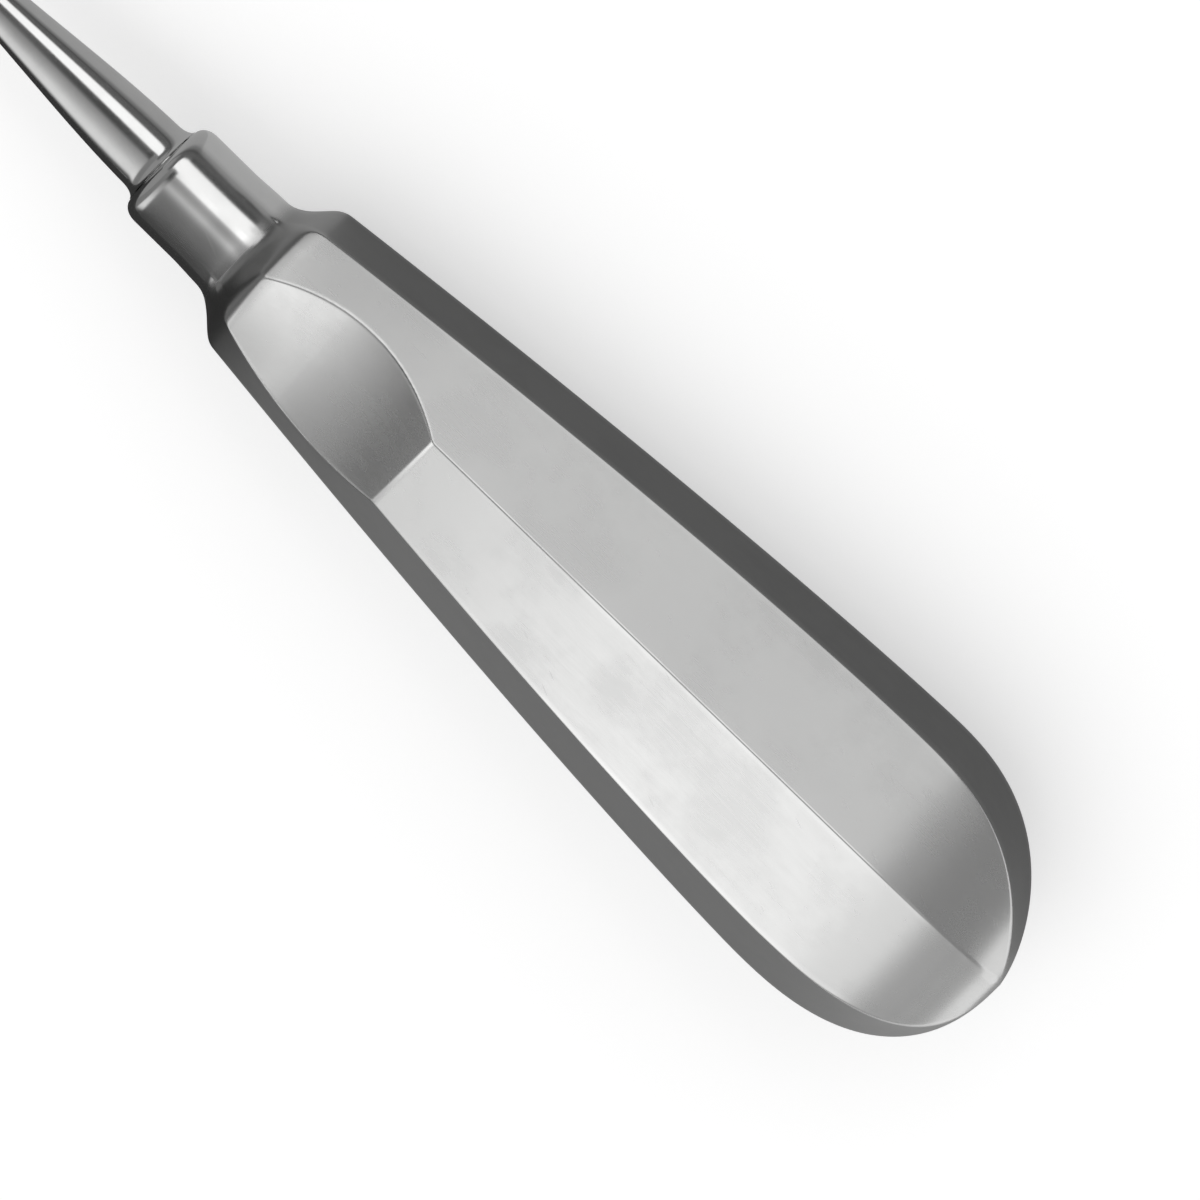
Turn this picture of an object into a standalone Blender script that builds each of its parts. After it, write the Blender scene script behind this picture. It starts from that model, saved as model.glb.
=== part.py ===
"""Winged dental elevator: a faceted pear-shaped handle with a thumb rest, and a shank with a winged blade.

Both pieces are drawn in the tool's own frame: the origin is at the butt of the handle, +X runs along
the axis towards the tip, +Z leaves through the front ridge and +Y goes across. The tool is then rolled
and pitched so that it lies on one wide flat facet of its back, as it comes to rest on a table. Its
origin is the point of that facet below the middle of the handle. Lengths are in metres.
"""

import math

import bmesh
import bpy
from mathutils import Matrix, Vector

# Lengths along the axis, from the butt to the tip
BUTT_LENGTH = 0.0158
BODY_LENGTH = 0.0590
FLARE_LENGTH = 0.0048
COLLAR_LENGTH = 0.0086
SHANK_LENGTH = 0.0520
WING_FLARE_LENGTH = 0.0060
WING_LENGTH = 0.0060
TIP_LENGTH = 0.0050

# Handle body: an eight-sided section whose facets keep their tilt from the butt to the neck
FACET_TILT = math.radians(22.5)
BODY_HALF_WIDTH = 0.01208
NECK_HALF_WIDTH = 0.00727
TAPER_CURVE = 1.38
BODY_HALF_HEIGHT = 0.0102
NECK_HALF_HEIGHT = 0.0075
BUTT_ROUNDNESS = 2.1
BUTT_ROUNDNESS_FULL_SIDE = 2.4
BUTT_ROUNDNESS_LEAN_SIDE = 1.85
FLARE_CREST_DELAY = 0.0013

# Collar, its bore and the tang that sits in it
COLLAR_RADIUS = 0.00445
COLLAR_CORNER = 0.0009
COLLAR_WALL = 0.00175
TANG_LENGTH = 0.0120
TANG_CLEARANCE = 0.0003
SEAT_GAP = 0.0003

# Thumb rest: a shallow hollow ground across one front facet, from the flare towards the butt
THUMB_REST_LENGTH = 0.0171
THUMB_REST_DEPTH = 0.00185
THUMB_REST_CUTTER_WIDTH = 0.0300

# Shank and winged blade
SHANK_ROOT_RADIUS = 0.0030
SHANK_WAIST_RADIUS = 0.00155
SHANK_TAPER_LENGTH = 0.0240
ROOT_FILLET = 0.0009
WING_HALF_WIDTH = 0.0026
TROUGH_DEPTH = 0.00075
BLADE_THICKNESS = 0.00070

# Steps of the mesh
POINTS_PER_FACET = 4
FACETS = 8
RING_POINTS = FACETS * POINTS_PER_FACET
BUTT_STEPS = 12
BODY_STEPS = 14
FLARE_STEPS = 12
CORNER_STEPS = 5
TAPER_STEPS = 14
BLADE_STEPS = 12
WING_STEPS = 3
TIP_STEPS = 8
CUTTER_SEGMENTS = 180
SHARP_ANGLE = math.radians(20)

# Shares that keep a feature inside what carries it, and where along the body the origin lies
MOST_OF_WALL = 0.8
MOST_OF_FLARE = 0.8
ORIGIN_ALONG_BODY = 0.4

# Finishes: colour and roughness
SATIN_STEEL = ((0.62, 0.62, 0.61), 0.32)
POLISHED_STEEL = ((0.68, 0.68, 0.67), 0.12)

# Stations along the axis
NECK_X = BUTT_LENGTH + BODY_LENGTH
FLARE_END_X = NECK_X + FLARE_LENGTH
COLLAR_END_X = FLARE_END_X + COLLAR_LENGTH
SHANK_START_X = COLLAR_END_X + SEAT_GAP
WING_FLARE_X = COLLAR_END_X + SHANK_LENGTH
WING_X = WING_FLARE_X + WING_FLARE_LENGTH
TIP_START_X = WING_X + WING_LENGTH
TIP_X = TIP_START_X + TIP_LENGTH

# Sizes that follow from the ones above
RIDGE_SLOPE = (BODY_HALF_HEIGHT - NECK_HALF_HEIGHT) / BODY_LENGTH
BORE_RADIUS = COLLAR_RADIUS - COLLAR_WALL
TANG_RADIUS = BORE_RADIUS - TANG_CLEARANCE
CORNER = min(COLLAR_CORNER, MOST_OF_WALL * COLLAR_WALL)
SEAT_RADIUS = COLLAR_RADIUS - CORNER
CREST_X = NECK_X + min(FLARE_CREST_DELAY, MOST_OF_FLARE * FLARE_LENGTH)


def smooth_step(value):
    """Rises from 0 to 1 with level ends."""
    value = min(1.0, max(0.0, value))
    return value * value * (3.0 - 2.0 * value)


def spread(start, end, steps):
    """Evenly spaced stations from start to end, without the start."""
    return [start + (end - start) * step / steps for step in range(1, steps + 1)]


def dome(x, roundness):
    """How much of the full section is left at x inside the rounded butt."""
    if x >= BUTT_LENGTH:
        return 1.0
    reach = (BUTT_LENGTH - x) / BUTT_LENGTH
    return (1.0 - reach**roundness) ** (1.0 / roundness)


def body_half_width(x):
    """Half width of the handle before the butt rounds it off: widest at the butt, curving in to the neck."""
    along = max(0.0, x - BUTT_LENGTH) / BODY_LENGTH
    return BODY_HALF_WIDTH - (BODY_HALF_WIDTH - NECK_HALF_WIDTH) * along**TAPER_CURVE


def ridge_height(x):
    """Height of the straight front and back ridges above the axis."""
    return BODY_HALF_HEIGHT - RIDGE_SLOPE * (x - BUTT_LENGTH)


def facet_corners(x):
    """The eight corners of the handle's section at x, from the front ridge round by +Y."""
    height = ridge_height(x) * dome(x, BUTT_ROUNDNESS)
    full_side = body_half_width(x) * dome(x, BUTT_ROUNDNESS_FULL_SIDE)
    lean_side = body_half_width(x) * dome(x, BUTT_ROUNDNESS_LEAN_SIDE)
    rise = math.tan(FACET_TILT)
    fall = 1.0 / rise

    def edge(width):
        across = (fall * width - height) / (fall - rise)
        return across, height - across * rise

    full_y, full_z = edge(full_side)
    lean_y, lean_z = edge(lean_side)
    return [
        Vector((0.0, height)),
        Vector((full_y, full_z)),
        Vector((full_side, 0.0)),
        Vector((full_y, -full_z)),
        Vector((0.0, -height)),
        Vector((-lean_y, -lean_z)),
        Vector((-lean_side, 0.0)),
        Vector((-lean_y, lean_z)),
    ]


def round_point(index, radius):
    """Point of a round section, counted from the front ridge round by +Y."""
    angle = 2.0 * math.pi * index / RING_POINTS
    return Vector((radius * math.sin(angle), radius * math.cos(angle)))


def round_ring(x, radius):
    """A round section at x."""
    ring = []
    for index in range(RING_POINTS):
        point = round_point(index, radius)
        ring.append(Vector((x, point.x, point.y)))
    return ring


def handle_ring(x):
    """Section of the handle at x: faceted along the body, round once the flare has ended."""
    corners = facet_corners(x)
    blend_y = smooth_step((x - NECK_X) / FLARE_LENGTH)
    blend_z = smooth_step((x - CREST_X) / (FLARE_END_X - CREST_X))
    ring = []
    for index in range(RING_POINTS):
        facet, step = divmod(index, POINTS_PER_FACET)
        flat = corners[facet].lerp(corners[(facet + 1) % FACETS], step / POINTS_PER_FACET)
        turned = round_point(index, COLLAR_RADIUS)
        y = flat.x + (turned.x - flat.x) * blend_y
        z = flat.y + (turned.y - flat.y) * blend_z
        ring.append(Vector((x, y, z)))
    return ring


def shank_radius(x):
    """Radius of the shank: full at the collar, drawn in to the waist."""
    along = (x - COLLAR_END_X) / SHANK_TAPER_LENGTH
    return SHANK_ROOT_RADIUS - (SHANK_ROOT_RADIUS - SHANK_WAIST_RADIUS) * smooth_step(along)


def blade_ring(x):
    """Section of the blade at x: a round shank that opens into a hollow-ground winged blade."""
    radius = shank_radius(x)
    opened = smooth_step((x - WING_FLARE_X) / WING_FLARE_LENGTH)
    reach = min(1.0, max(0.0, (x - TIP_START_X) / TIP_LENGTH))
    full_width = radius + (WING_HALF_WIDTH - radius) * opened
    half_width = full_width * math.sqrt(1.0 - reach * reach)
    crown = radius + (-TROUGH_DEPTH - radius) * opened
    thickness = (2.0 * radius + (BLADE_THICKNESS - 2.0 * radius) * opened) * (1.0 - reach)
    ring = []
    for index in range(RING_POINTS):
        angle = 2.0 * math.pi * index / RING_POINTS
        y = half_width * math.sin(angle)
        front = crown * math.sqrt(max(0.0, 1.0 - (y / full_width) ** 2))
        back = min(0.0, math.cos(angle)) * thickness
        if index in (RING_POINTS // 4, 3 * RING_POINTS // 4):
            back = 0.0
        ring.append(Vector((x, y, front + back)))
    return ring


def closed_loft(rings, start_point, end_point):
    """A closed mesh through the rings, with a fan of triangles at each end."""
    mesh = bmesh.new()
    rows = [[mesh.verts.new(point) for point in ring] for ring in rings]
    start = mesh.verts.new(start_point)
    end = mesh.verts.new(end_point)
    for index in range(RING_POINTS):
        after = (index + 1) % RING_POINTS
        mesh.faces.new((start, rows[0][after], rows[0][index]))
        mesh.faces.new((end, rows[-1][index], rows[-1][after]))
        for near, far in zip(rows, rows[1:]):
            mesh.faces.new((near[index], near[after], far[after], far[index]))
    bmesh.ops.recalc_face_normals(mesh, faces=mesh.faces)
    return mesh


def steel(name, finish):
    """Stainless steel of one finish."""
    colour, roughness = finish
    material = bpy.data.materials.new(name)
    material.use_nodes = True
    shader = material.node_tree.nodes["Principled BSDF"]
    shader.inputs["Base Color"].default_value = (*colour, 1.0)
    shader.inputs["Metallic"].default_value = 1.0
    shader.inputs["Roughness"].default_value = roughness
    return material


def add_piece(name, mesh, material, parent):
    """Makes one piece from its mesh and hangs it on the tool's frame."""
    data = bpy.data.meshes.new(name)
    mesh.to_mesh(data)
    mesh.free()
    piece = bpy.data.objects.new(name, data)
    bpy.context.scene.collection.objects.link(piece)
    piece.parent = parent
    if material:
        data.materials.append(material)
    data.shade_smooth()
    data.set_sharp_from_angle(angle=SHARP_ANGLE)
    return piece


def handle_mesh():
    """The handle: domed butt, faceted body, flare, collar and the blind bore for the tang."""
    stations = []
    for step in range(1, BUTT_STEPS + 1):
        stations.append(BUTT_LENGTH * (1.0 - math.cos(0.5 * math.pi * step / BUTT_STEPS)))
    stations += spread(BUTT_LENGTH, NECK_X, BODY_STEPS)
    stations += spread(NECK_X, FLARE_END_X, FLARE_STEPS)
    rings = [handle_ring(x) for x in stations]
    for step in range(CORNER_STEPS + 1):
        turn = 0.5 * math.pi * step / CORNER_STEPS
        x = COLLAR_END_X - CORNER * (1.0 - math.sin(turn))
        rings.append(round_ring(x, SEAT_RADIUS + CORNER * math.cos(turn)))
    rings.append(round_ring(COLLAR_END_X, BORE_RADIUS))
    bore_end_x = COLLAR_END_X - TANG_LENGTH - SEAT_GAP
    rings.append(round_ring(bore_end_x, BORE_RADIUS))
    return closed_loft(rings, Vector((0.0, 0.0, 0.0)), Vector((bore_end_x, 0.0, 0.0)))


def blade_shank_mesh():
    """The shank and blade: tang, root fillet on the collar, tapering shank, wings and tip."""
    tang_end_x = COLLAR_END_X - TANG_LENGTH
    rings = [round_ring(tang_end_x, TANG_RADIUS), round_ring(SHANK_START_X, TANG_RADIUS)]
    fillet_end_x = SHANK_START_X + ROOT_FILLET
    fillet_height = SEAT_RADIUS - shank_radius(fillet_end_x)
    for step in range(CORNER_STEPS + 1):
        turn = 0.5 * math.pi * step / CORNER_STEPS
        x = SHANK_START_X + ROOT_FILLET * (1.0 - math.cos(turn))
        rings.append(round_ring(x, SEAT_RADIUS - fillet_height * math.sin(turn)))
    taper_end_x = min(COLLAR_END_X + SHANK_TAPER_LENGTH, WING_FLARE_X)
    stations = spread(fillet_end_x, taper_end_x, TAPER_STEPS)
    if taper_end_x < WING_FLARE_X:
        stations += spread(taper_end_x, WING_FLARE_X, WING_STEPS)
    stations += spread(WING_FLARE_X, WING_X, BLADE_STEPS)
    stations += spread(WING_X, TIP_START_X, WING_STEPS)
    for step in range(1, TIP_STEPS):
        stations.append(TIP_START_X + TIP_LENGTH * math.sin(0.5 * math.pi * step / TIP_STEPS))
    rings += [blade_ring(x) for x in stations]
    return closed_loft(rings, Vector((tang_end_x, 0.0, 0.0)), Vector((TIP_X, 0.0, -TROUGH_DEPTH)))


def thumb_rest_cutter(parent):
    """The round tool that hollows the thumb rest, lying across the front facet on the +Y side."""
    along = Vector((1.0, 0.0, -RIDGE_SLOPE)).normalized()
    across = Vector((0.0, math.cos(FACET_TILT), -math.sin(FACET_TILT)))
    outward = along.cross(across).normalized()
    half_chord = 0.5 * THUMB_REST_LENGTH
    radius = (half_chord**2 + THUMB_REST_DEPTH**2) / (2.0 * THUMB_REST_DEPTH)
    middle_x = CREST_X - half_chord
    centre = Vector((middle_x, 0.0, ridge_height(middle_x))) + outward * (radius - THUMB_REST_DEPTH)
    turn = Matrix((along, outward.cross(along), outward)).transposed()
    axis_turn = Matrix.Rotation(-0.5 * math.pi, 3, "X")
    mesh = bmesh.new()
    bmesh.ops.create_cone(
        mesh,
        cap_ends=True,
        segments=CUTTER_SEGMENTS,
        radius1=radius,
        radius2=radius,
        depth=THUMB_REST_CUTTER_WIDTH,
        matrix=Matrix.Translation(centre) @ (turn @ axis_turn).to_4x4(),
    )
    cutter = add_piece("thumb_rest_cutter", mesh, None, parent)
    cutter.hide_render = True
    cutter.display_type = "WIRE"
    return cutter


def lay_on_back_facet(frame):
    """Rolls and pitches the tool onto the wide back facet on its -Y side, with the origin on that facet."""
    pitch = math.atan(RIDGE_SLOPE * math.cos(FACET_TILT))
    turn = Matrix.Rotation(pitch, 3, "Y") @ Matrix.Rotation(FACET_TILT, 3, "X")
    middle_x = BUTT_LENGTH + ORIGIN_ALONG_BODY * BODY_LENGTH
    drop = ridge_height(middle_x) * math.cos(FACET_TILT)
    foot = Vector((middle_x, -drop * math.sin(FACET_TILT), -drop * math.cos(FACET_TILT)))
    frame.matrix_world = Matrix.Translation(-(turn @ foot)) @ turn.to_4x4()


def main():
    """Builds both pieces and lays the tool down."""
    for old in list(bpy.data.objects):
        bpy.data.objects.remove(old)
    frame = bpy.data.objects.new("tool_frame", None)
    bpy.context.scene.collection.objects.link(frame)
    handle = add_piece("handle", handle_mesh(), steel("satin_steel", SATIN_STEEL), frame)
    cut = handle.modifiers.new("thumb_rest", "BOOLEAN")
    cut.operation = "DIFFERENCE"
    cut.solver = "EXACT"
    cut.object = thumb_rest_cutter(frame)
    add_piece("blade_shank", blade_shank_mesh(), steel("polished_steel", POLISHED_STEEL), frame)
    lay_on_back_facet(frame)


main()
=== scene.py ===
"""Winged dental elevator: the finished surfaces, laid out as an add-on with one operator for each piece.

Both pieces are drawn in the tool's own frame, with the origin at the butt, +X along the axis towards the
tip, +Z out of the front ridge and +Y across. They are then laid down on the back facet, as the frame's
solids are. Lengths are in metres.
"""

import math
from collections import namedtuple

import bpy
import numpy as np
from bpy.props import FloatProperty, FloatVectorProperty, PointerProperty
from mathutils import Euler, Matrix, Vector


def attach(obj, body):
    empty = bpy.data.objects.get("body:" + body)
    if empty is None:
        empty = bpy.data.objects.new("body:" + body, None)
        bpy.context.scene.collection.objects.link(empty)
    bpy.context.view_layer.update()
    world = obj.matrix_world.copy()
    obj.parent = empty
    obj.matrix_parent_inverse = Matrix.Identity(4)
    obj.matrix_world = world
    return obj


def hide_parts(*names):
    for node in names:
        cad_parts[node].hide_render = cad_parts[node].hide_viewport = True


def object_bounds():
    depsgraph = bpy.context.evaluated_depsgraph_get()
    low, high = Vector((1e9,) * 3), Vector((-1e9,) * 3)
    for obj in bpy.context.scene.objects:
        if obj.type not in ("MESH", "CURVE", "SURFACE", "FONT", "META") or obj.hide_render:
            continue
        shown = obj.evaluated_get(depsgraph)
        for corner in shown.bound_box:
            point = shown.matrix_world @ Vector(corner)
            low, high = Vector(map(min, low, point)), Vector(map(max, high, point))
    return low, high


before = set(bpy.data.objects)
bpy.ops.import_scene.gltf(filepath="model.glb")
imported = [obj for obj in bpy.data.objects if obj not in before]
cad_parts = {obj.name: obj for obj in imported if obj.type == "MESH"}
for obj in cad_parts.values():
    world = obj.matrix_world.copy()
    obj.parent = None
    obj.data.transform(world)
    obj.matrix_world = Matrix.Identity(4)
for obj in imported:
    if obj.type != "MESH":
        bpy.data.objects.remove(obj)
CAD_LOW, CAD_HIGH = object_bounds()
FLOOR_Z = CAD_LOW.z

bl_info = {
    "name": "Winged dental elevator",
    "version": (1, 0, 0),
    "blender": (4, 5, 0),
    "location": "3D Viewport > Sidebar > Elevator",
    "description": "Adds a faceted steel handle, a shank with a winged blade, and a studio stage",
    "category": "Add Mesh",
}


def number(name, description, default, **kind):
    """A number that a user can change."""
    return FloatProperty(name=name, description=description, default=default, **kind)


def length(name, description, default):
    """A length that a user can change."""
    return number(name, description, default, unit="LENGTH", subtype="DISTANCE")


def in_degrees(name, description, degrees):
    """An angle that a user can change."""
    return number(name, description, math.radians(degrees), unit="ROTATION", subtype="ANGLE")


def share(name, description, default):
    """A value from 0 to 1 that a user can change."""
    return number(name, description, default, min=0.0, max=1.0, subtype="FACTOR")


def numbers(name, description, default, **kind):
    """A few numbers that a user can change."""
    kind["size"] = len(default)
    return FloatVectorProperty(name=name, description=description, default=default, **kind)


def colour(name, description, default):
    """A colour that a user can change."""
    return numbers(name, description, default, subtype="COLOR")


class HandleSizes(bpy.types.PropertyGroup):
    """Sizes of the faceted handle, its neck and its collar."""

    butt_length: length("Butt length", "From the butt's end to the widest place", 0.0158)
    body_length: length("Body length", "From the widest place to the neck", 0.0590)
    flare_length: length("Flare length", "From the neck to the collar", 0.0048)
    collar_length: length("Collar length", "From the flare to the collar's end", 0.0082)
    facet_tilt: in_degrees("Facet tilt", "Slope of the wide facets to either side of a ridge", 22.5)
    body_half_width: length("Body half width", "Half width at the widest place", 0.01208)
    neck_half_width: length("Neck half width", "Half width at the neck", 0.00727)
    taper_curve: number("Taper curve", "Bend of the sides", 1.38)
    body_half_height: length("Body half height", "Ridge above the axis at the widest place", 0.0102)
    neck_half_height: length("Neck half height", "Ridge above the axis at the neck", 0.0075)
    ridge_drift: numbers(
        "Ridge drift",
        "How far hand grinding has moved the front ridge across, at the butt and at the neck",
        (-0.0002, 0.00045),
        unit="LENGTH",
    )
    butt_roundness: numbers("Butt roundness", "Exponents of the ridges' end, along and across", (2.1, 2.1))
    full_side_roundness: numbers(
        "Full side", "Exponents of the butt's fuller side, along and across", (2.5, 2.45)
    )
    lean_side_roundness: numbers(
        "Lean side", "Exponents of the butt's leaner side, along and across", (2.35, 1.5)
    )
    crest_delay: length("Crest delay", "How much later the ridges start to flare than the sides", 0.0013)
    crest_lead: length("Crest lead", "How much sooner the ridges end their flare than the sides", 0.0007)
    side_delay: length("Side delay", "How much later the flare starts than the facets end", 0.0003)
    flare_skew: length("Flare skew", "How much the flare runs askew, late on the thumb rest's side", 0.0003)
    collar_radius: length("Collar radius", "Radius of the round collar", 0.00445)
    collar_swell: length("Collar swell", "How much wider the collar is where the flare runs in", 0.00012)
    collar_swell_length: length("Swell length", "Length over which the collar narrows", 0.0030)
    collar_corner: length("Collar corner", "Rounding at the collar's end, across", 0.0009)
    collar_corner_length: length("Corner length", "Rounding at the collar's end, along", 0.0015)
    corner_roundness: numbers(
        "Corner roundness", "Exponents of the rounding at the collar's end, along and across", (2.6, 1.7)
    )
    collar_wall: length("Collar wall", "Wall between the collar and its bore", 0.00175)
    bore_depth: length("Bore depth", "Depth of the blind bore for the tang", 0.0119)
    bore_chamfer: length("Bore chamfer", "Broken edge at the bore's mouth", 0.00015)
    ridge_softness: length("Ridge softness", "Radius that polishing leaves on the ridges", 0.00032)
    butt_softening: number("Butt softening", "Extra softness at the butt", 3.0)
    flare_softening: number("Flare softening", "Extra softness in the flare", 12.0)


class ThumbRestSizes(bpy.types.PropertyGroup):
    """Sizes of the hollow ground across one front facet."""

    rest_length: length("Length", "Chord of the hollow along the facet", 0.0171)
    rest_depth: length("Depth", "Deepest point below the facet", 0.00185)
    rest_reach: length("Reach", "How far the hollow runs past the neck", 0.0013)
    crease: length("Crease", "Softness of the hollow's rim", 0.00013)


class BladeSizes(bpy.types.PropertyGroup):
    """Sizes of the shank, its tang and the winged blade."""

    tang_length: length("Tang length", "Part of the shank inside the collar", 0.0116)
    tang_clearance: length("Tang clearance", "Gap between the tang and its bore", 0.0003)
    seat_gap: length("Seat gap", "Seam between the collar's end and the shank's root", 0.00008)
    root_radius: length("Root radius", "Radius of the shank at the collar", 0.0030)
    root_fillet: length("Root fillet", "Fillet at the shank's root", 0.0012)
    waist_radius: length("Waist radius", "Radius of the thinnest part", 0.00155)
    taper_length: length("Taper length", "From the collar to the thinnest part", 0.0244)
    shank_length: length("Shank length", "From the collar to the blade", 0.0524)
    wing_flare: length("Wing flare", "Length over which the wings open", 0.0060)
    wing_length: length("Wing length", "Length of the parallel wings", 0.0060)
    tip_length: length("Tip length", "Length of the rounded tip", 0.0050)
    wing_half_width: length("Wing half width", "Half width over the wings", 0.0026)
    trough_depth: length("Trough depth", "Hollow of the blade below its edges", 0.00075)
    blade_thickness: length("Blade thickness", "Thickness on the centre line", 0.00070)


class SteelFinish(bpy.types.PropertyGroup):
    """Colours and gloss of the steel."""

    facet_colour: colour("Facets", "Wide facets, satin polished", (0.64, 0.64, 0.635))
    # Painted shade: the side facets get a darker colour than the wide facets, standing in for the dark
    # surroundings they reflect.
    side_shade_colour: colour("Side facets", "Narrow side facets, left duller by the belt", (0.38, 0.38, 0.378))
    turned_colour: colour("Turned parts", "Collar and shank, polished bright", (0.78, 0.78, 0.775))
    # Painted shade: the flare's colour is darkened to stand in for the shade and dark reflections at the
    # neck.
    flare_shade_colour: colour("Flare", "Flare behind the collar, hard to reach with a wheel", (0.39, 0.39, 0.387))
    facet_roughness: share("Facet roughness", "Roughness of the wide facets", 0.25)
    side_roughness: share("Side roughness", "Roughness of the side facets", 0.40)
    turned_roughness: share("Turned roughness", "Roughness of the collar and shank", 0.13)
    flare_roughness: share("Flare roughness", "Roughness of the flare", 0.33)
    edge_roughness: share("Edge roughness", "Roughness of the burnished ridges", 0.16)


class StageSettings(bpy.types.PropertyGroup):
    """The camera's place and the studio light."""

    view_roll: in_degrees("View roll", "How far the camera stands off the front ridge", 2.5)
    axis_angle: in_degrees("Axis angle", "Slope of the tool across the picture", 44.42)
    picture_width: length("Picture width", "Width that the picture covers at the tool", 0.090)
    centre_along: length("Centre along", "Picture centre along the axis, from the butt", 0.04163)
    centre_across: length("Centre across", "Picture centre across the axis", 0.0003)
    camera_distance: length("Camera distance", "From the camera to the tool", 1.0)
    floor_radius: length("Floor radius", "Radius of the pale floor", 6.0)
    floor_colour: colour("Floor", "Pale floor", (0.80, 0.80, 0.80))
    world_strength: number("World strength", "Plain light from all round", 0.56)


def clamp(value):
    """The value, kept from 0 to 1."""
    return min(1.0, max(0.0, value))


def mix(first, second, part):
    """The value that lies at a part of the way from the first to the second."""
    return first + (second - first) * part


def smooth_step(value, start, end):
    """Rises from 0 to 1 with level ends, as the value goes from start to end."""
    place = clamp((value - start) / (end - start))
    return place * place * (3.0 - 2.0 * place)


def smoother_step(value, start, end):
    """Rises from 0 to 1 as smooth_step does, with ends that are level for longer and a steeper middle."""
    place = clamp((value - start) / (end - start))
    return place**3 * (10.0 - 15.0 * place + 6.0 * place * place)


def round_axis(x, radius, turn):
    """A point at x, off the axis by a radius that is turned from +Z towards +Y."""
    return Vector((x, radius * math.sin(turn), radius * math.cos(turn)))


def spread(start, end, steps):
    """Evenly spaced stations from start to end, without the start."""
    return [start + (end - start) * step / steps for step in range(1, steps + 1)]


FACETS = 8
# Place of the frame's origin along the body, from the widest place to the neck
ORIGIN_ALONG_BODY = 0.4


class HandleShape:
    """Works out the handle's sections from its sizes."""

    def __init__(self, sizes):
        self.sizes = sizes
        self.neck_x = sizes.butt_length + sizes.body_length
        self.flare_end_x = self.neck_x + sizes.flare_length
        self.collar_end_x = self.flare_end_x + sizes.collar_length
        self.crest_x = self.neck_x + sizes.crest_delay
        self.crest_end_x = self.flare_end_x - sizes.crest_lead
        self.bore_radius = sizes.collar_radius - sizes.collar_wall
        self.seat_radius = sizes.collar_radius - sizes.collar_corner
        self.ridge_slope = (sizes.body_half_height - sizes.neck_half_height) / sizes.body_length

    def dome(self, x, roundness):
        """How much of the full section is left at x inside the rounded butt."""
        if x >= self.sizes.butt_length:
            return 1.0
        reach = (self.sizes.butt_length - x) / self.sizes.butt_length
        along, across = roundness
        return (1.0 - reach**along) ** (1.0 / across)

    def half_width(self, x):
        """Half width before the butt rounds it off."""
        sizes = self.sizes
        along = max(0.0, x - sizes.butt_length) / sizes.body_length
        return mix(sizes.body_half_width, sizes.neck_half_width, along**sizes.taper_curve)

    def ridge_height(self, x):
        """Height of the straight ridges above the axis."""
        return self.sizes.body_half_height - self.ridge_slope * (x - self.sizes.butt_length)

    def corners(self, x):
        """The eight corners of the section at x, from the front ridge round by +Y."""
        sizes = self.sizes
        rise = math.tan(sizes.facet_tilt)
        fall = 1.0 / rise
        height = self.ridge_height(x) * self.dome(x, sizes.butt_roundness)
        drift = mix(*sizes.ridge_drift, min(1.0, x / self.neck_x))
        halves = []
        for roundness in (sizes.full_side_roundness, sizes.lean_side_roundness):
            side = self.half_width(x) * self.dome(x, roundness)
            y = (fall * side - height) / (fall - rise)
            halves.append((side, y, height - y * rise))
        (full_side, full_y, full_z), (lean_side, lean_y, lean_z) = halves
        return [
            Vector((drift, height)),
            Vector((full_y, full_z)),
            Vector((full_side, 0.0)),
            Vector((full_y, -full_z)),
            Vector((0.0, -height)),
            Vector((-lean_y, -lean_z)),
            Vector((-lean_side, 0.0)),
            Vector((-lean_y, lean_z)),
        ]

    def swollen_radius(self, x):
        """Radius of the collar, which is a little wider where the flare runs into it."""
        fading = smooth_step(x - self.flare_end_x, 0.0, self.sizes.collar_swell_length)
        return self.sizes.collar_radius + self.sizes.collar_swell * (1.0 - fading)

    def foot(self):
        """The point of the back facet that the frame has as its origin."""
        middle_x = self.sizes.butt_length + ORIGIN_ALONG_BODY * self.sizes.body_length
        tilt = self.sizes.facet_tilt
        drop = self.ridge_height(middle_x) * math.cos(tilt)
        return Vector((middle_x, -drop * math.sin(tilt), -drop * math.cos(tilt)))

    def turn(self):
        """Turn from the tool's own frame to the frame it lies in."""
        pitch = math.atan(self.ridge_slope * math.cos(self.sizes.facet_tilt))
        return Matrix.Rotation(pitch, 3, "Y") @ Matrix.Rotation(self.sizes.facet_tilt, 3, "X")

    def lay_down(self):
        """Matrix that lays the tool on its back facet."""
        turn = self.turn()
        return Matrix.Translation(-(turn @ self.foot())) @ turn.to_4x4()


# How the points lie on each facet, from the front ridge round by +Y: how many, and how much they
# crowd towards the facet's first corner (above 1) or its last corner (below -1)
FACET_POINTS = ((24, 1.0), (22, 1.5), (8, 1.0), (14, 1.0), (14, 1.0), (8, 1.0), (10, 1.0), (36, -1.6))
SIDE_FACETS = (1, 2, 5, 6)
# Steps of a softened corner, and the most of a facet that it may take up
ARC_STEPS = 8
MOST_OF_FACET = 0.3


def facet_fractions(count, crowding):
    """Places of the points along one facet, as fractions of it."""
    even = [step / (count + 1) for step in range(1, count + 1)]
    if crowding < 0.0:
        return [1.0 - (1.0 - place) ** -crowding for place in even]
    return [place**crowding for place in even]


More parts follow.
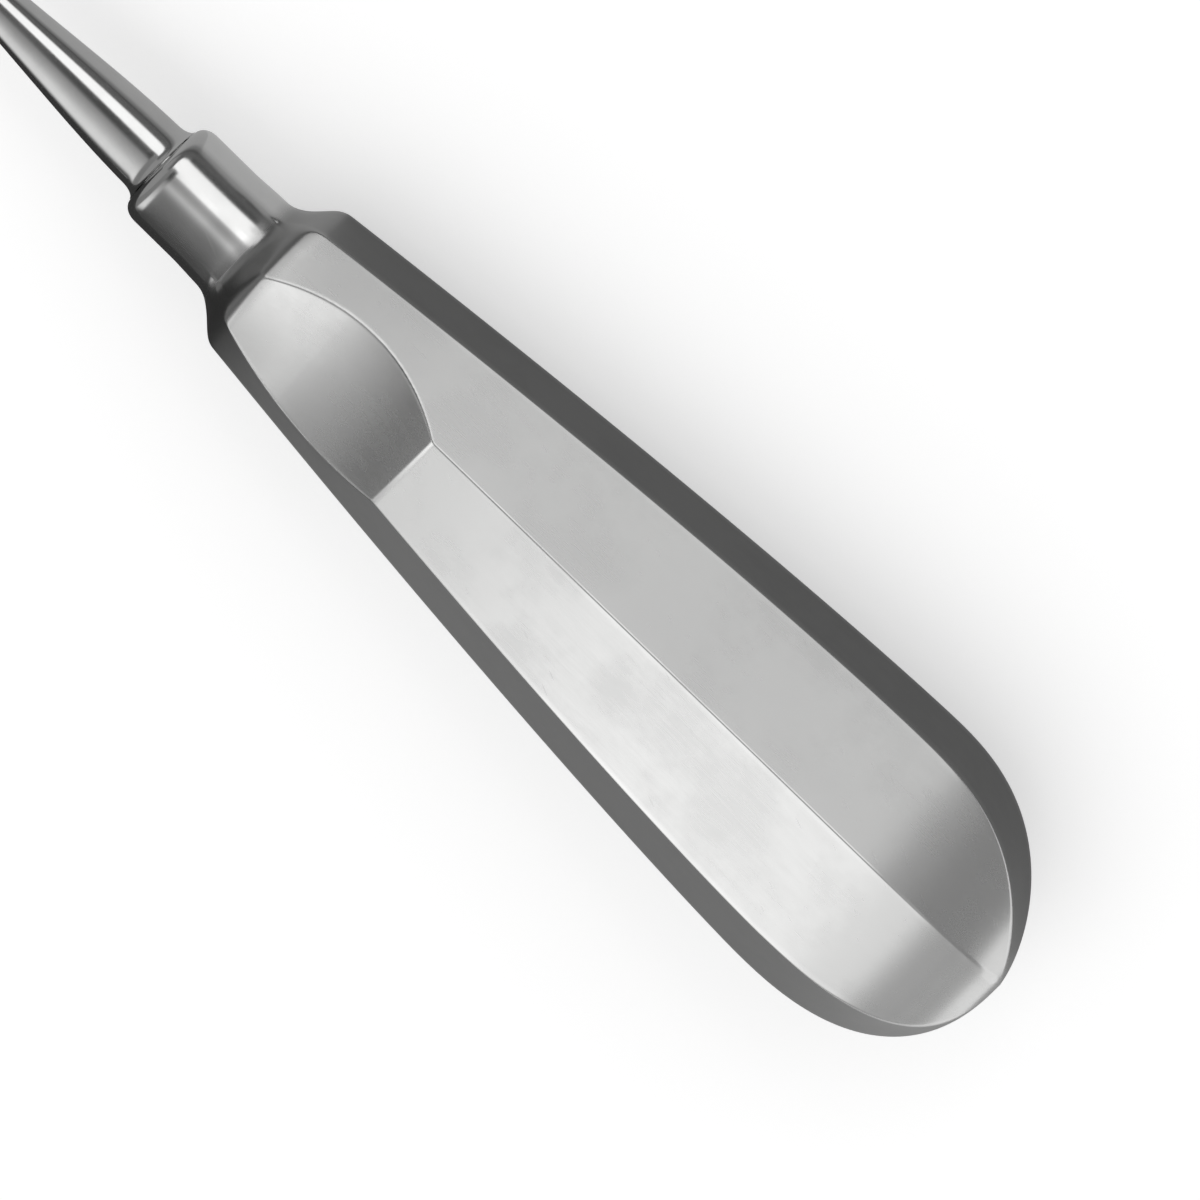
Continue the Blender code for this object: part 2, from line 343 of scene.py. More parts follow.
def softened_ring(corners, softness):
    """One section with softened corners: its points, and how far each is on a side facet and on a ridge."""
    places = [step / ARC_STEPS for step in range(ARC_STEPS + 1)]
    arcs = []
    for index, corner in enumerate(corners):
        before = corners[index - 1] - corner
        after = corners[(index + 1) % FACETS] - corner
        cut = min(softness * math.tan(math.pi / FACETS), MOST_OF_FACET * min(before.length, after.length))
        start = corner + before.normalized() * cut
        end = corner + after.normalized() * cut
        arcs.append([start.lerp(corner, place).lerp(corner.lerp(end, place), place) for place in places])
    ring = []
    for index in range(FACETS):
        side_before = float((index - 1) % FACETS in SIDE_FACETS)
        side_after = float(index in SIDE_FACETS)
        for place, point in zip(places, arcs[index]):
            ring.append((point, mix(side_before, side_after, place), 1.0))
        start, end = arcs[index][-1], arcs[(index + 1) % FACETS][0]
        for place in facet_fractions(*FACET_POINTS[index]):
            ring.append((start.lerp(end, place), side_after, 0.0))
    return ring


class ThumbRest:
    """The round tool that hollows the thumb rest, lying across the front facet on the +Y side."""

    def __init__(self, sizes, shape):
        tilt = shape.sizes.facet_tilt
        self.sizes = sizes
        self.along = Vector((1.0, 0.0, -shape.ridge_slope)).normalized()
        across = Vector((0.0, math.cos(tilt), -math.sin(tilt)))
        self.outward = self.along.cross(across).normalized()
        half_chord = 0.5 * sizes.rest_length
        self.radius = (half_chord**2 + sizes.rest_depth**2) / (2.0 * sizes.rest_depth)
        middle_x = shape.neck_x + sizes.rest_reach - half_chord
        surface = Vector((middle_x, 0.0, shape.ridge_height(middle_x)))
        self.centre = surface + self.outward * (self.radius - sizes.rest_depth)

    def grind(self, point):
        """Lowers a point onto the hollow, and says how deep it is in it and how near its rim."""
        offset = point - self.centre
        run = offset.dot(self.along)
        if abs(run) >= self.radius:
            return point, 0.0, 0.0
        height = offset.dot(self.outward)
        floor = -math.sqrt(self.radius**2 - run**2)
        crease = self.sizes.crease
        kept = clamp(0.5 + 0.5 * (floor - height) / crease)
        rim = kept * (1.0 - kept)
        lowered = mix(floor, height, kept) - crease * rim
        return point + self.outward * (lowered - height), 1.0 - kept, 4.0 * rim


BUTT_STEPS = 48
BODY_STEPS = 50
HOLLOW_STEPS = 170
COLLAR_STEPS = 18
CORNER_STEPS = 20
# How far before the neck the close stations start, in lengths of the thumb rest
HOLLOW_COVER = 1.1
# How far to either side of the flare's ends its dull finish and painted shade fade, and where its ridges get
# softer: how far before the flare of the ridges this starts, and over which length
FLARE_FADE = 0.0009
FLARE_SOFT_LEAD = 0.0003
FLARE_SOFT_LENGTH = 0.0020


def handle_stations(shape, thumb_rest):
    """Stations along the handle: close together at the butt, the thumb rest and the flare."""
    sizes = shape.sizes
    hollow_x = shape.neck_x - HOLLOW_COVER * thumb_rest.sizes.rest_length
    butt_turns = spread(0.0, 0.5 * math.pi, BUTT_STEPS)
    stations = [sizes.butt_length * (1.0 - math.cos(turn)) for turn in butt_turns]
    stations += spread(sizes.butt_length, hollow_x, BODY_STEPS)
    stations += spread(hollow_x, shape.flare_end_x, HOLLOW_STEPS)
    stations += spread(shape.flare_end_x, shape.collar_end_x - sizes.collar_corner_length, COLLAR_STEPS)
    return stations


def store(data, name, values):
    """Keeps one number for each point of a mesh."""
    data.attributes.new(name, "FLOAT", "POINT").data.foreach_set("value", np.array(values, dtype=np.float32))


class SurfaceRows:
    """Collects the rows of a lofted surface with the masks that its finish and its painted shade read."""

    def __init__(self):
        self.points = []
        self.masks = {"side_facet": [], "ridge": [], "turned": [], "flare": []}

    def add(self, points, side=0.0, ridge=0.0, turned=1.0, flare=0.0):
        """Adds one row; a mask is one number for the row or a list with one for each point."""
        self.points.append(points)
        for values, value in zip(self.masks.values(), (side, ridge, turned, flare)):
            values.append(value if isinstance(value, list) else [value] * len(points))

    def mesh(self, name, start_point, end_point):
        """A closed mesh through the rows, with a fan at each end, and one attribute for each mask."""
        around = len(self.points[0])
        rows = len(self.points)
        points = [point for row in self.points for point in row] + [start_point, end_point]
        start, end = rows * around, rows * around + 1
        faces = []
        for index in range(around):
            after = (index + 1) % around
            faces.append((start, index, after))
            faces.append((end, (rows - 1) * around + after, (rows - 1) * around + index))
            for row in range(rows - 1):
                near, far = row * around, (row + 1) * around
                faces.append((near + index, far + index, far + after, near + after))
        data = bpy.data.meshes.new(name)
        data.from_pydata([tuple(point) for point in points], [], faces)
        for mask, values in self.masks.items():
            store(data, mask, [value for row in values for value in row] + [values[0][0], values[-1][0]])
        return data


def handle_rows(shape, thumb_rest):
    """All rows of the handle from the butt to the bottom of the bore."""
    sizes = shape.sizes
    rows = SurfaceRows()
    neck = softened_ring(shape.corners(shape.neck_x), sizes.ridge_softness)
    angles = [math.atan2(point.x, point.y) for point, side, ridge in neck]
    for x in handle_stations(shape, thumb_rest):
        blend_z = smoother_step(x, shape.crest_x, shape.crest_end_x)
        rising = smooth_step(x, shape.crest_x - FLARE_FADE, shape.crest_x + FLARE_FADE)
        fading = smooth_step(x, shape.crest_end_x - FLARE_FADE, shape.crest_end_x + FLARE_FADE)
        radius = shape.swollen_radius(x)
        softening = sizes.butt_softening * (1.0 - shape.dome(x, sizes.butt_roundness))
        in_flare = smooth_step(x - shape.crest_x + FLARE_SOFT_LEAD, 0.0, FLARE_SOFT_LENGTH)
        softness = sizes.ridge_softness * (1.0 + softening + sizes.flare_softening * in_flare)
        points, sides, ridges = [], [], []
        for (flat, side, ridge), turn in zip(softened_ring(shape.corners(x), softness), angles):
            late = sizes.side_delay + sizes.flare_skew * math.sin(turn)
            blend_y = smoother_step(x - shape.neck_x - late, 0.0, sizes.flare_length)
            y = mix(flat.x, radius * math.sin(turn), blend_y)
            z = mix(flat.y, radius * math.cos(turn), blend_z)
            point, hollow, rim = thumb_rest.grind(Vector((x, y, z)))
            faceted = (1.0 - blend_y) * (1.0 - hollow)
            points.append(point)
            sides.append(side * faceted)
            ridges.append(max(ridge * faceted, rim))
        # The side and flare masks carry a duller finish and also painted shade into the steel.
        rows.add(points, sides, ridges, blend_z, rising * (1.0 - fading))

    def round_row(x, radius):
        rows.add([round_axis(x, radius, turn) for turn in angles])

    along, across = sizes.corner_roundness
    for turn in spread(0.0, 0.5 * math.pi, CORNER_STEPS):
        x = shape.collar_end_x - sizes.collar_corner_length * (1.0 - math.sin(turn) ** (2.0 / along))
        round_row(x, shape.seat_radius + sizes.collar_corner * max(0.0, math.cos(turn)) ** (2.0 / across))
    round_row(shape.collar_end_x, shape.bore_radius + sizes.bore_chamfer)
    round_row(shape.collar_end_x - sizes.bore_chamfer, shape.bore_radius)
    round_row(shape.collar_end_x - sizes.bore_depth, shape.bore_radius)
    return rows


class NodePen:
    """Adds nodes to a node tree, and hands back their outputs."""

    def __init__(self, tree):
        self.tree = tree

    def feed(self, socket, value):
        """Links an output to a socket, or sets the socket's value; a plain colour gets its alpha."""
        if isinstance(value, bpy.types.NodeSocket):
            self.tree.links.new(value, socket)
        elif socket.type == "RGBA":
            socket.default_value = (*value, 1.0)
        else:
            socket.default_value = value

    def feed_all(self, sockets, values):
        """Feeds sockets by name or number."""
        for key, value in values.items():
            self.feed(sockets[key], value)

    def node(self, kind, values=None, **settings):
        """A new node with its settings and its fed inputs."""
        made = self.tree.nodes.new(kind)
        for name, value in settings.items():
            setattr(made, name, value)
        self.feed_all(made.inputs, values or {})
        return made

    def row(self, kind, *values, **settings):
        """The first output of a new node whose inputs are fed in their own order."""
        return self.node(kind, dict(enumerate(values)), **settings).outputs[0]

    def calc(self, operation, *values):
        """One math node."""
        return self.row("ShaderNodeMath", *values, operation=operation)

    def between(self, low, high, place):
        """The value that lies at a place from low, at 0, to high, at 1."""
        return self.calc("MULTIPLY_ADD", self.calc("SUBTRACT", high, low), place, low)

    def ramp(self, value, start, end, low=0.0, high=1.0, shape="LINEAR"):
        """Runs from low to high as the value goes from start to end."""
        limits = (value, start, end, low, high)
        return self.row("ShaderNodeMapRange", *limits, clamp=True, interpolation_type=shape)


# Shares of the sheet's rows at which the tang's cap and each later stretch of the blade end
TANG_CAP_END = 0.006
TANG_END = 0.025
SHOULDER_END = 0.035
FILLET_END = 0.065
SHANK_END = 0.87
BLADE_ROWS = 440
BLADE_AROUND = 96
MERGE_DISTANCE = 0.000001


def blade_values(sizes, shape):
    """The values that the blade's tree takes, by input name, in metres from the butt."""
    blade_x = shape.collar_end_x + sizes.shank_length
    return {
        "Tang Start": shape.collar_end_x - sizes.tang_length,
        "Tang Radius": shape.bore_radius - sizes.tang_clearance,
        "Seat": shape.collar_end_x + sizes.seat_gap,
        "Seat Radius": shape.seat_radius,
        "Root Fillet": sizes.root_fillet,
        "Collar End": shape.collar_end_x,
        "Root Radius": sizes.root_radius,
        "Waist Radius": sizes.waist_radius,
        "Taper Length": sizes.taper_length,
        "Blade Start": blade_x,
        "Wing Flare": sizes.wing_flare,
        "Tip Start": blade_x + sizes.wing_flare + sizes.wing_length,
        "Tip Length": sizes.tip_length,
        "Wing Half Width": sizes.wing_half_width,
        "Trough Depth": sizes.trough_depth,
        "Blade Thickness": sizes.blade_thickness,
    }


def blade_tree(names):
    """Geometry nodes for the shank and blade: a sheet of rows is wrapped round the axis by rule."""
    tree = bpy.data.node_groups.new("winged_blade", "GeometryNodeTree")
    face = tree.interface
    for name in names:
        face.new_socket(name, in_out="INPUT", socket_type="NodeSocketFloat")
    face.new_socket("Finish", in_out="INPUT", socket_type="NodeSocketMaterial")
    face.new_socket("Geometry", in_out="OUTPUT", socket_type="NodeSocketGeometry")
    pen = NodePen(tree)
    given = pen.node("NodeGroupInput").outputs
    counts = {"Vertices X": BLADE_ROWS, "Vertices Y": BLADE_AROUND + 1}
    sheet = pen.node("GeometryNodeMeshGrid", {"Size X": 1.0, "Size Y": 1.0, **counts}).outputs[0]
    place = pen.node("ShaderNodeSeparateXYZ", {0: pen.row("GeometryNodeInputPosition")}).outputs
    row = pen.calc("ADD", place["X"], 0.5)
    turn_round = pen.calc("MULTIPLY", pen.calc("ADD", place["Y"], 0.5), 2.0 * math.pi)
    sine = pen.calc("SINE", turn_round)
    cosine = pen.calc("COSINE", turn_round)

    # Place along the axis: tang, upright shoulder, fillet, shank and blade, then the tip
    turn = pen.ramp(row, SHOULDER_END, FILLET_END, 0.0, 0.5 * math.pi)
    fillet_run = pen.calc("SUBTRACT", 1.0, pen.calc("COSINE", turn))
    fillet_x = pen.calc("MULTIPLY", given["Root Fillet"], fillet_run)
    tang_x = pen.ramp(row, TANG_CAP_END, TANG_END, given["Tang Start"], given["Seat"])
    fillet_end = pen.calc("ADD", given["Seat"], given["Root Fillet"])
    shank_run = pen.calc("SUBTRACT", given["Tip Start"], fillet_end)
    shank_x = pen.ramp(row, FILLET_END, SHANK_END, 0.0, shank_run)
    tip_turn = pen.ramp(row, SHANK_END, 1.0, 0.0, 0.5 * math.pi)
    reach = pen.calc("SINE", tip_turn)
    tip_x = pen.calc("MULTIPLY", given["Tip Length"], reach)
    x = pen.calc("ADD", pen.calc("ADD", tang_x, fillet_x), pen.calc("ADD", shank_x, tip_x))

    def progress(start, run):
        along = pen.calc("DIVIDE", pen.calc("SUBTRACT", x, given[start]), given[run])
        return pen.ramp(along, 0.0, 1.0, shape="SMOOTHSTEP")

    # Radius of the round part: closed at the tang's end, full on the shoulder, drawn in to the waist
    taper = pen.between(given["Root Radius"], given["Waist Radius"], progress("Collar End", "Taper Length"))
    fillet = pen.calc("MULTIPLY", pen.calc("SUBTRACT", given["Seat Radius"], taper), pen.calc("SINE", turn))
    after_seat = pen.calc("SUBTRACT", given["Seat Radius"], fillet)
    tang = pen.ramp(row, 0.0, TANG_CAP_END, 0.0, given["Tang Radius"])
    radius = pen.between(tang, after_seat, pen.ramp(row, TANG_END, SHOULDER_END))

    # Section: the round opens into a hollow-ground crescent whose wings are sharp
    opened = progress("Blade Start", "Wing Flare")
    closing = pen.calc("COSINE", tip_turn)
    half_width = pen.calc("MULTIPLY", pen.between(radius, given["Wing Half Width"], opened), closing)
    crown = pen.between(radius, pen.calc("MULTIPLY", given["Trough Depth"], -1.0), opened)
    solid = pen.between(pen.calc("MULTIPLY", radius, 2.0), given["Blade Thickness"], opened)
    thickness = pen.calc("MULTIPLY", solid, pen.calc("SUBTRACT", 1.0, reach))
    y = pen.calc("MULTIPLY", half_width, sine)
    across = pen.calc("MULTIPLY", closing, sine)
    bow_square = pen.calc("SUBTRACT", 1.0, pen.calc("MULTIPLY", across, across))
    bow = pen.calc("SQRT", pen.calc("MAXIMUM", bow_square, 0.0))
    back = pen.calc("MULTIPLY", pen.calc("MINIMUM", cosine, 0.0), thickness)
    z = pen.calc("MULTIPLY_ADD", crown, bow, back)

    wrapped = pen.row("ShaderNodeCombineXYZ", x, y, z)
    shaped = pen.node("GeometryNodeSetPosition", {"Geometry": sheet, "Position": wrapped}).outputs[0]
    kept = {"Geometry": shaped, "Name": "ground", "Value": opened}
    marked = pen.node("GeometryNodeStoreNamedAttribute", kept, data_type="FLOAT", domain="POINT").outputs[0]
    seam = {"Geometry": marked, "Distance": MERGE_DISTANCE}
    sewn = pen.node("GeometryNodeMergeByDistance", seam).outputs[0]
    finished = {"Geometry": pen.row("GeometryNodeRealizeInstances", sewn), "Material": given["Finish"]}
    final = pen.node("GeometryNodeSetMaterial", finished).outputs[0]
    pen.node("NodeGroupOutput", {"Geometry": final})
    return tree


def placed(name, data):
    """A new object, linked to the scene."""
    thing = bpy.data.objects.new(name, data)
    bpy.context.scene.collection.objects.link(thing)
    return thing


def made_by_tree(name, tree, values):
    """Runs a geometry tree with the given inputs and returns its result as a plain mesh."""
    carrier = placed(name, bpy.data.meshes.new(name))
    rule = carrier.modifiers.new("rule", "NODES")
    rule.node_group = tree
    for socket in tree.interface.items_tree:
        if socket.in_out == "INPUT":
            rule[socket.identifier] = values[socket.name]
    bpy.context.view_layer.update()
    evaluated = carrier.evaluated_get(bpy.context.evaluated_depsgraph_get())
    data = bpy.data.meshes.new_from_object(evaluated)
    carrier.modifiers.remove(rule)
    bpy.data.objects.remove(carrier)
    return data


def shader_group(name, values, output):
    """An empty shader group with a place and numbers as inputs, and one number as output."""
    tree = bpy.data.node_groups.new(name, "ShaderNodeTree")
    tree.interface.new_socket("Place", in_out="INPUT", socket_type="NodeSocketVector")
    for label, default in values.items():
        socket = tree.interface.new_socket(label, in_out="INPUT", socket_type="NodeSocketFloat")
        socket.default_value = default
    tree.interface.new_socket(output, in_out="OUTPUT", socket_type="NodeSocketFloat")
    pen = NodePen(tree)
    return tree, pen, pen.node("NodeGroupInput").outputs, pen.node("NodeGroupOutput").inputs[output]


def noise(pen, place, detail, roughness, scale=1.0):
    """A noise value round 0.5."""
    values = {"Vector": place, "Scale": scale, "Detail": detail, "Roughness": roughness}
    return pen.node("ShaderNodeTexNoise", values, noise_dimensions="3D").outputs["Fac"]


def stretched(pen, place, along, across):
    """A place scaled by one value along the tool and another across it."""
    scale = pen.row("ShaderNodeCombineXYZ", along, across, across)
    return pen.row("ShaderNodeVectorMath", place, scale, operation="MULTIPLY")


# The coarser lines of the grain: their closeness along and across as shares of the fine ones', and
# the share of the height that is left to the fine ones
COARSE_ALONG = 0.37
COARSE_ACROSS = 0.29
FINE_SHARE = 0.6
HAIRLINE_EDGE = 0.05


def polishing_grain_group():
    """Fine lines that the polishing wheel leaves: short along the tool and close together across it."""
    values = {"Along": 260.0, "Across": 5200.0}
    tree, pen, given, height = shader_group("polishing_grain", values, "Height")
    place, along, across = given["Place"], given["Along"], given["Across"]
    fine = noise(pen, stretched(pen, place, along, across), detail=3.0, roughness=0.6)
    coarse_along = pen.calc("MULTIPLY", along, COARSE_ALONG)
    coarse_across = pen.calc("MULTIPLY", across, COARSE_ACROSS)
    coarse = noise(pen, stretched(pen, place, coarse_along, coarse_across), detail=2.0, roughness=0.5)
    fine_height = pen.calc("MULTIPLY", fine, FINE_SHARE)
    pen.feed(height, pen.calc("ADD", fine_height, pen.calc("MULTIPLY", coarse, 1.0 - FINE_SHARE)))
    return tree


def handling_haze_group():
    """Soft cloudy patches left by cleaning and by gloves."""
    values = {"Size": 0.008, "Low": 0.40, "High": 0.66}
    tree, pen, given, haze = shader_group("handling_haze", values, "Haze")
    scale = pen.calc("DIVIDE", 1.0, given["Size"])
    cloud = noise(pen, given["Place"], detail=4.0, roughness=0.62, scale=scale)
    pen.feed(haze, pen.ramp(cloud, given["Low"], given["High"], shape="SMOOTHSTEP"))
    return tree


def hairlines_group():
    """Sparse fine scratches that run askew to the tool."""
    values = {"Skew": 0.5, "Along": 70.0, "Across": 3400.0, "Rarity": 0.70}
    tree, pen, given, mask = shader_group("hairlines", values, "Mask")
    askew = {"Vector": given["Place"], "Angle": given["Skew"]}
    turned = pen.node("ShaderNodeVectorRotate", askew, rotation_type="Z_AXIS").outputs[0]
    lines = noise(pen, stretched(pen, turned, given["Along"], given["Across"]), detail=1.0, roughness=0.4)
    edge = pen.calc("ADD", given["Rarity"], HAIRLINE_EDGE)
    pen.feed(mask, pen.ramp(lines, given["Rarity"], edge, shape="SMOOTHSTEP"))
    return tree


def shared_group(build):
    """The shader group that a function builds, built once and shared."""
    return bpy.data.node_groups.get(build.__name__.removesuffix("_group")) or build()


def with_nodes(thing):
    """Switches on the nodes of a new material or world, and returns a pen for them."""
    thing.use_nodes = True
    return NodePen(thing.node_tree)


BUMP_STRENGTH = 0.4
HANDLE_BUMP = 0.000004
BLADE_BUMP = 0.000002
# How much of the bright steel's colour and of the burnished gloss the ridges get
RIDGE_TINT = 0.2
RIDGE_GLOSS = 0.5
# What the haze, the grain and the scratches add to the roughness, and how deep a scratch is in the grain
HAZE_ROUGHNESS = 0.03
GRAIN_ROUGHNESS = 0.10
SCRATCH_ROUGHNESS = 0.05
SCRATCH_DEPTH = -0.15
BLADE_HAZE_ROUGHNESS = 0.025
BLADE_SCRATCH_ROUGHNESS = 0.06


class SteelPen(NodePen):
    """Draws one steel material around a Principled shader."""

    def __init__(self, name, shape):
        self.material = bpy.data.materials.new(name)
        super().__init__(with_nodes(self.material).tree)
        self.inputs = self.tree.nodes["Principled BSDF"].inputs
        self.feed(self.inputs["Metallic"], 1.0)
        own = {
            "Vector": self.node("ShaderNodeTexCoord").outputs["Object"],
            "Rotation": shape.turn().transposed().to_euler("XYZ"),
            "Location": shape.foot(),
        }
        self.place = self.node("ShaderNodeMapping", own, vector_type="POINT").outputs[0]

    def mask(self, name):
        """One of the masks that the mesh carries."""
        return self.node("ShaderNodeAttribute", attribute_name=name).outputs["Fac"]

    def group(self, build, **values):
        """Places a shader group at this piece's own coordinates, with its own values."""
        labelled = {name.capitalize(): value for name, value in values.items()}
        made = self.node("ShaderNodeGroup", node_tree=shared_group(build))
        self.feed_all(made.inputs, {"Place": self.place, **labelled})
        return made.outputs[0]

    def mixed(self, factor, first, second):
        """A colour between two colours."""
        values = {"Factor": factor, 6: first, 7: second}
        return self.node("ShaderNodeMix", values, data_type="RGBA", blend_type="MIX").outputs[2]

    def dimmed(self, tone, factor, floor):
        """A colour made darker, down to a floor, as the factor goes from 0 to 1."""
        keep = self.ramp(factor, 0.0, 1.0, 1.0, floor)
        return self.node("ShaderNodeVectorMath", {0: tone, "Scale": keep}, operation="SCALE").outputs[0]

    def finish(self, tone, rough, height, distance):
        """Feeds the shader's colour, roughness and normal."""
        values = {"Height": height, "Distance": distance, "Strength": BUMP_STRENGTH}
        normal = self.node("ShaderNodeBump", values).outputs[0]
        self.feed_all(self.inputs, {"Base Color": tone, "Roughness": rough, "Normal": normal})
        return self.material


def handle_steel(finish, shape):
    """Steel of the handle: satin facets, burnished ridges, bright collar and flare ends, painted shade on
    side facets and flare.
    """
    pen = SteelPen("handle_steel", shape)
    side, ridge, turned, flare = [pen.mask(name) for name in ("side_facet", "ridge", "turned", "flare")]
    haze = pen.group(handling_haze_group, size=0.007)
    bloom = pen.group(handling_haze_group, size=0.022, low=0.35, high=0.70)
    grain = pen.group(polishing_grain_group, along=320.0, across=5200.0)
    cross = pen.group(polishing_grain_group, along=3600.0, across=420.0)
    scratch = pen.group(hairlines_group, skew=0.42, along=45.0, rarity=0.74)
    # Painted shade: the side facets and the flare get darker colours, standing in for the shade and dark
    # reflections they show.
    tone = pen.mixed(side, finish.facet_colour, finish.side_shade_colour)
    tone = pen.mixed(turned, tone, finish.turned_colour)
    tone = pen.mixed(pen.calc("MULTIPLY", ridge, RIDGE_TINT), tone, finish.turned_colour)
    # Painted shade: the flare mask darkens the flare's colour.
    tone = pen.mixed(flare, tone, finish.flare_shade_colour)
    tone = pen.dimmed(tone, haze, floor=0.955)
    tone = pen.dimmed(tone, bloom, floor=0.97)
    rough = pen.between(finish.facet_roughness, finish.side_roughness, side)
    rough = pen.between(rough, finish.turned_roughness, turned)
    rough = pen.between(rough, finish.edge_roughness, pen.calc("MULTIPLY", ridge, RIDGE_GLOSS))
    rough = pen.between(rough, finish.flare_roughness, flare)
    rough = pen.calc("MULTIPLY_ADD", haze, HAZE_ROUGHNESS, rough)
    flat_share = pen.calc("SUBTRACT", 1.0, pen.calc("MAXIMUM", turned, flare))
    uneven = pen.calc("MULTIPLY", pen.calc("SUBTRACT", grain, 0.5), flat_share)
    rough = pen.calc("MULTIPLY_ADD", uneven, GRAIN_ROUGHNESS, rough)
    rough = pen.calc("MULTIPLY_ADD", scratch, SCRATCH_ROUGHNESS, rough)
    lines = pen.calc("MULTIPLY", pen.between(grain, cross, side), flat_share)
    return pen.finish(tone, rough, pen.calc("MULTIPLY_ADD", scratch, SCRATCH_DEPTH, lines), HANDLE_BUMP)


def blade_steel(finish, shape):
    """Steel of the shank and blade: mirror polished, with fine grinding lines where the blade is ground."""
    pen = SteelPen("blade_steel", shape)
    ground = pen.mask("ground")
    haze = pen.group(handling_haze_group, size=0.004)
    grain = pen.group(polishing_grain_group, along=900.0, across=7000.0)
    cross = pen.group(polishing_grain_group, along=9000.0, across=500.0)
    scratch = pen.group(hairlines_group, skew=0.25, rarity=0.70)
    tone = pen.dimmed(pen.mixed(ground, finish.turned_colour, finish.facet_colour), haze, floor=0.96)
    rough = pen.between(finish.turned_roughness, finish.facet_roughness, ground)
    rough = pen.calc("MULTIPLY_ADD", haze, BLADE_HAZE_ROUGHNESS, rough)
    rough = pen.calc("MULTIPLY_ADD", scratch, BLADE_SCRATCH_ROUGHNESS, rough)
    return pen.finish(tone, rough, pen.between(grain, cross, ground), BLADE_BUMP)


SHARP_ANGLE = math.radians(32)


def add_piece(name, data, material, matrix):
    """Makes one finished piece: its place is in its mesh, and its object stays at the origin."""
    data.name = name
    data.transform(matrix)
    data.materials.clear()
    data.materials.append(material)
    data.shade_smooth()
    data.set_sharp_from_angle(angle=SHARP_ANGLE)
    return placed(name, data)


class MESH_OT_elevator_handle(bpy.types.Operator):
    """Adds the faceted handle with its thumb rest and collar"""

    bl_idname = "mesh.elevator_handle_add"
    bl_label = "Handle"
    bl_options = {"REGISTER", "UNDO"}

    def execute(self, context):
        scene = context.scene
        shape = HandleShape(scene.elevator_handle)
        rows = handle_rows(shape, ThumbRest(scene.elevator_thumb_rest, shape))
        bore_end = Vector((shape.collar_end_x - shape.sizes.bore_depth, 0.0, 0.0))
        data = rows.mesh("handle_surface", Vector((0.0, 0.0, 0.0)), bore_end)
        material = handle_steel(scene.elevator_finish, shape)
        piece = add_piece("faceted_handle", data, material, shape.lay_down())
        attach(piece, "root")
        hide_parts("handle")
        return {"FINISHED"}


class MESH_OT_elevator_blade(bpy.types.Operator):
    """Adds the shank with its tang and its winged blade"""

    bl_idname = "mesh.elevator_blade_add"
    bl_label = "Shank and blade"
    bl_options = {"REGISTER", "UNDO"}

    def execute(self, context):
        scene = context.scene
        shape = HandleShape(scene.elevator_handle)
        values = blade_values(scene.elevator_blade, shape)
        material = blade_steel(scene.elevator_finish, shape)
        data = made_by_tree("winged_blade_rule", blade_tree(values), {**values, "Finish": material})
        piece = add_piece("winged_blade", data, material, shape.lay_down())
        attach(piece, "root")
        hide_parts("blade_shank")
        return {"FINISHED"}


WHITE = (1.0, 1.0, 1.0)
# The floor's own glow for the eye, its finish and its corners, and how far below the tool it and the
# cards on it lie
FLOOR_LIFT = 0.42
FLOOR_ROUGHNESS = 0.9
FLOOR_SPECULAR = 0.1
FLOOR_CORNERS = 96
FLOOR_DROP = 0.0001
CARD_DROP = 0.00005


def white_for_the_eye(pen):
    """1 where a camera, a polished surface or glass looks, and 0 where only light is gathered."""
    path = pen.node("ShaderNodeLightPath").outputs
    seen = pen.calc("MAXIMUM", path["Is Camera Ray"], path["Is Glossy Ray"])
    return pen.calc("MAXIMUM", seen, path["Is Transmission Ray"])


def light_the_world(settings):
    """A plain white world: gentle as a light, white to look at."""
    world = bpy.data.worlds.new("studio_world")
    bpy.context.scene.world = world
    pen = with_nodes(world)
    strength = pen.between(settings.world_strength, 1.0, white_for_the_eye(pen))
    pen.feed_all(pen.tree.nodes["Background"].inputs, {"Color": WHITE, "Strength": strength})


def add_sheet(name, points, faces, material):
    """A sheet of the stage through the given points."""
    data = bpy.data.meshes.new(name)
    data.from_pydata(points, [], faces)
    data.materials.append(material)
    sheet = placed(name, data)
    return sheet


def add_floor(settings):
    """The pale floor: it keeps the tool's shadow and runs into the white world."""
    material = bpy.data.materials.new("pale_floor")
    pen = with_nodes(material)
    looks = {
        "Base Color": settings.floor_colour,
        "Roughness": FLOOR_ROUGHNESS,
        "Specular IOR Level": FLOOR_SPECULAR,
        "Emission Color": WHITE,
        "Emission Strength": pen.calc("MULTIPLY", white_for_the_eye(pen), FLOOR_LIFT),
    }
    pen.feed_all(pen.tree.nodes["Principled BSDF"].inputs, looks)
    rim = []
    for step in range(FLOOR_CORNERS):
        turn = 2.0 * math.pi * step / FLOOR_CORNERS
        rim.append((settings.floor_radius * math.cos(turn), settings.floor_radius * math.sin(turn), 0.0))
    floor = add_sheet("pale_floor", rim, [tuple(range(FLOOR_CORNERS))], material)
    floor.location.z = FLOOR_Z - FLOOR_DROP


def glow_material():
    """The even glow of the studio's cards and tent, as bright as each point's own tone."""
    material = bpy.data.materials.new("studio_glow")
    pen = with_nodes(material)
    # Only polished steel sees the glow, so no light rays are spent on searching for it
    material.cycles.emission_sampling = "NONE"
    pen.tree.nodes.clear()
    tone = pen.node("ShaderNodeAttribute", attribute_name="tone").outputs["Fac"]
    glow = pen.node("ShaderNodeEmission", {"Strength": tone}).outputs[0]
    pen.node("ShaderNodeOutputMaterial", {"Surface": glow})
    return material


